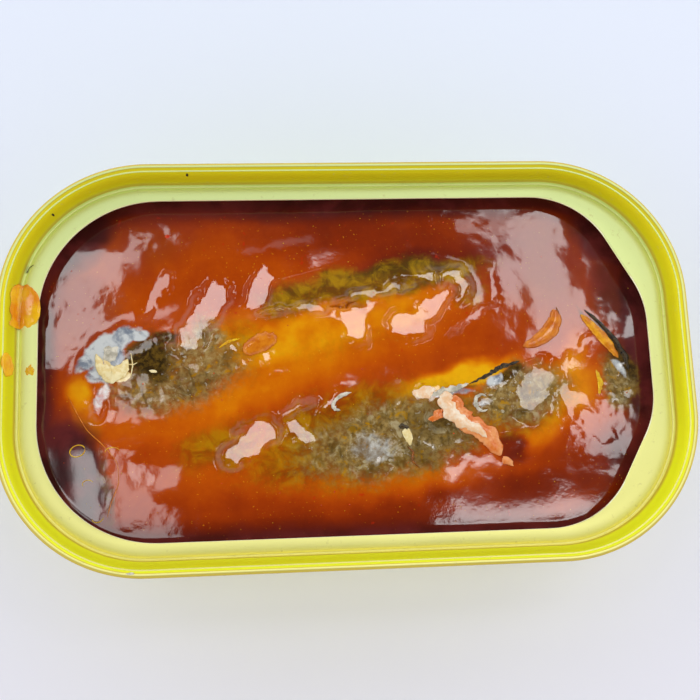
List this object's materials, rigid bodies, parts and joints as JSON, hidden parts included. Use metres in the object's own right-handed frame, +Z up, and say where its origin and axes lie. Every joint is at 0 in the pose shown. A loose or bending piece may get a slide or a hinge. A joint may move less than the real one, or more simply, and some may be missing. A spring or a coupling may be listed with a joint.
{
  "type": "opened sardine tin",
  "caption": "Oblong drawn metal tin with its peel-off lid gone, leaving the lid's ring in the seam, filled with sardines in tomato sauce and oil.",
  "frame": {"origin": "middle of the base, on the plane that the foot ring stands on", "axes": "+Z up out of the open top; +X along the length, towards the end where the lid's tab was; +Y across"},
  "size_m": [0.105, 0.062, 0.028],
  "materials": {
    "can_metal": "gold-lacquered tinplate, satin",
    "lid_metal": "gold-lacquered tinplate, satin, bright along the torn score",
    "sauce": "wet oily tomato sauce, high gloss",
    "sardine": "cooked fish with skin, wet and oily",
    "scraps": "torn flesh, bones and skin scraps, wet"
  },
  "bodies": {
    "root": {"can": "can_metal", "lid_ring": "lid_metal", "sauce": "sauce", "sardine_front": "sardine", "sardine_middle": "sardine", "sardine_back": "sardine"}
  },
  "joints": []
}
